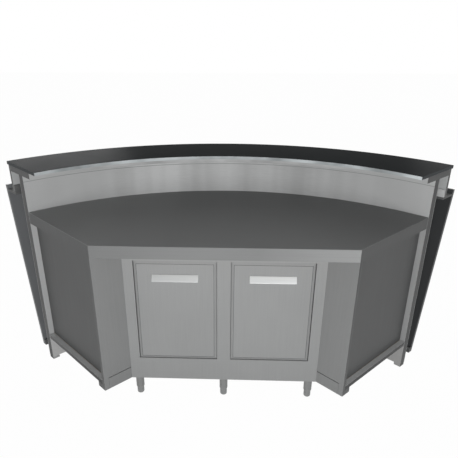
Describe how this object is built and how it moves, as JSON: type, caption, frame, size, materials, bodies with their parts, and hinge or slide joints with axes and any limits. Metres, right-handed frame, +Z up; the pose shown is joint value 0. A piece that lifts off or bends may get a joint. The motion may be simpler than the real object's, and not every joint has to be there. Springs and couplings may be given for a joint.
{
  "type": "refrigerated bar counter",
  "caption": "Curved refrigerated bar-counter module with hinged doors, a steel worktop, a raised black bar top and a leaning dark customer cladding.",
  "frame": {"origin": "on the floor under the middle of the counter's bounding box", "axes": "+X to the right as the operator sees it, +Y from the operator towards the customers, +Z up"},
  "size_m": [2.3788, 1.09, 1.15],
  "materials": {
    "brushed_steel": "fine brushed stainless sheet",
    "panel_steel": "satin stainless sheet panels",
    "frame_steel": "satin stainless tube and bar",
    "liner_steel": "smooth stainless liner",
    "bright_steel": "polished",
    "black_laminate": "glossy black high-pressure laminate",
    "plywood": "raw board",
    "insulation": "foamed insulation",
    "breaker_plastic": "grey moulded plastic",
    "fan_plastic": "black moulded plastic",
    "grey_rubber": "soft grey magnetic gasket",
    "foot_steel": "satin stainless",
    "coil_aluminium": "bare fins",
    "copper_pipe": "bare copper"
  },
  "bodies": {
    "counter": {"worktop_sheet": "brushed_steel", "backsplash": "brushed_steel", "wall_skin_operator": "brushed_steel", "wall_skin_customer": "brushed_steel", "bar_box": "brushed_steel", "neck_fascia": "brushed_steel", "upper_rail": "brushed_steel", "ledge": "brushed_steel", "lower_rail": "brushed_steel", "wall_posts": "brushed_steel", "evaporator_housing": "brushed_steel", "drip_tray": "brushed_steel", "front_frame": "panel_steel", "closing_panel_left": "panel_steel", "closing_panel_right": "panel_steel", "end_panel_left": "panel_steel", "end_panel_right": "panel_steel", "wing_rails": "panel_steel", "end_rails": "panel_steel", "base_rails": "frame_steel", "rear_arc_rail": "frame_steel", "worktop_bearers": "frame_steel", "cladding_brackets": "frame_steel", "shelf_runners": "frame_steel", "leg_tubes": "frame_steel", "cabinet_liner": "liner_steel", "hinge_pins": "bright_steel", "fan_guard": "bright_steel", "shelf_left": "bright_steel", "shelf_right": "bright_steel", "temperature_probe": "bright_steel", "bar_slab": "black_laminate", "cladding_panel": "black_laminate", "worktop_core": "plywood", "wall_core": "plywood", "side_floors": "plywood", "cabinet_floor": "insulation", "cabinet_ceiling": "insulation", "cabinet_back": "insulation", "cabinet_side_left": "insulation", "cabinet_side_right": "insulation", "frame_filler": "insulation", "throat_frame": "breaker_plastic", "drain_pipe": "breaker_plastic", "fan_motor": "fan_plastic", "leg_feet": "foot_steel", "evaporator_coil": "coil_aluminium", "refrigerant_lines": "copper_pipe"},
    "door_left": {"door_skin_left": "panel_steel", "door_core_left": "insulation", "gasket_left": "grey_rubber", "hinge_bushes_left": "breaker_plastic", "handle_left": "bright_steel"},
    "door_right": {"door_skin_right": "panel_steel", "door_core_right": "insulation", "gasket_right": "grey_rubber", "hinge_bushes_right": "breaker_plastic", "handle_right": "bright_steel"},
    "fan": {"fan_impeller": "fan_plastic"}
  },
  "joints": [
    {"name": "right_door_hinge", "type": "hinge", "parent": "counter", "child": "door_right", "pos_m": [0.411, -0.416, 0.5205], "axis": [0, 0, 1], "range_deg": [0, 98]},
    {"name": "left_door_hinge", "type": "hinge", "parent": "counter", "child": "door_left", "pos_m": [-0.411, -0.416, 0.5205], "axis": [0, 0, -1], "range_deg": [0, 98]},
    {"name": "fan_spin", "type": "hinge", "parent": "counter", "child": "fan", "pos_m": [0, -0.006, 0.707], "axis": [0, 1, 0], "continuous": true}
  ]
}
